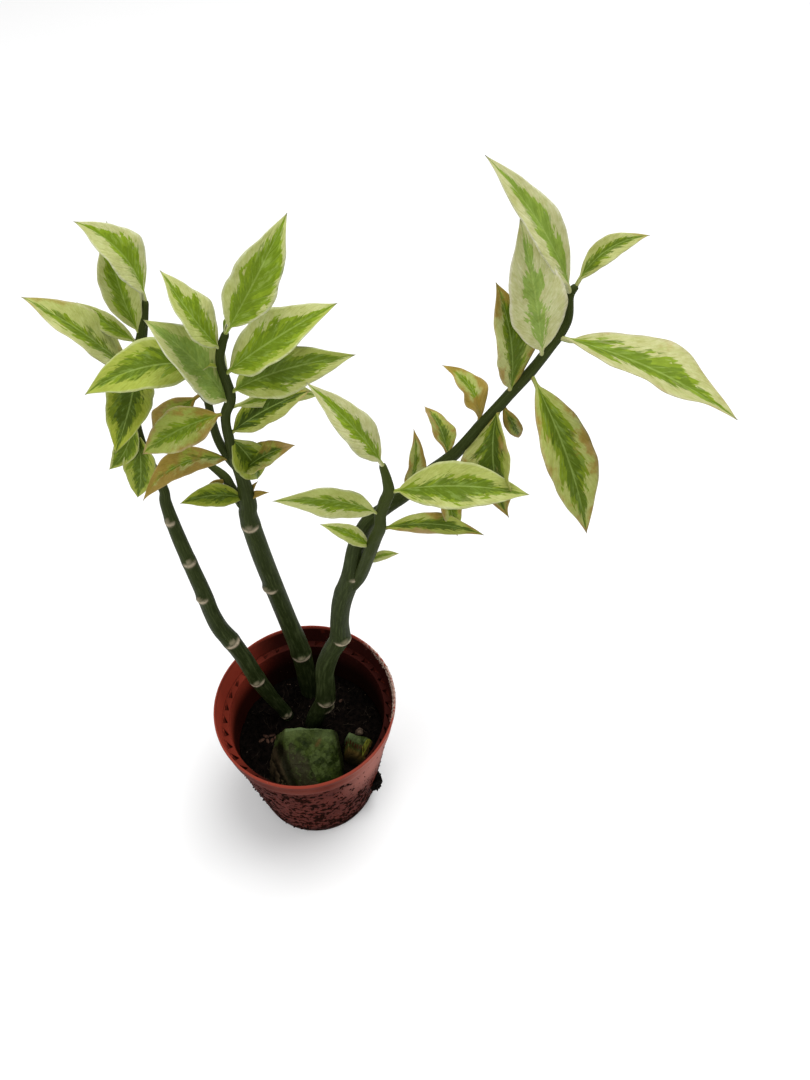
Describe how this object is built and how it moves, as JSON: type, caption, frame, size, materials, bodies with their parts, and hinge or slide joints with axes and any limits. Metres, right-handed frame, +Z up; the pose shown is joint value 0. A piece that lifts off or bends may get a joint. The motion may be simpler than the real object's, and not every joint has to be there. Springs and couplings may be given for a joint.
{
  "type": "potted devils backbone",
  "caption": "Variegated zigzag-stemmed succulent shrub in a round tapered nursery pot filled with dark soil, with cut pieces of a fleshy leaf at its foot.",
  "frame": {"origin": "centre of the pot's flat base, on the surface it stands on", "axes": "+Z up along the pot's axis, +X towards the leafy stem that leans out farthest, +Y away from the side with the cut pieces"},
  "size_m": [0.2249, 0.0975, 0.3504],
  "materials": {
    "pot_plastic": "satin terracotta-red moulded plastic with dried soil and a pale mineral crust",
    "soil": "damp near-black crumbly potting mix",
    "stem_left": "waxy green stem with cream-edged leaves",
    "stem_middle": "waxy green stem with cream-edged leaves",
    "stem_right": "waxy green stem with cream-edged leaves",
    "cut_piece_large": "dull green skin with papery brown flakes",
    "cut_piece_small": "dull green skin with a fresh cut facet"
  },
  "bodies": {
    "root": {"pot": "pot_plastic", "soil": "soil", "leafy_stem_left": "stem_left", "leafy_stem_middle": "stem_middle", "leafy_stem_right": "stem_right", "cut_piece_large": "cut_piece_large", "cut_piece_small": "cut_piece_small"}
  },
  "joints": []
}
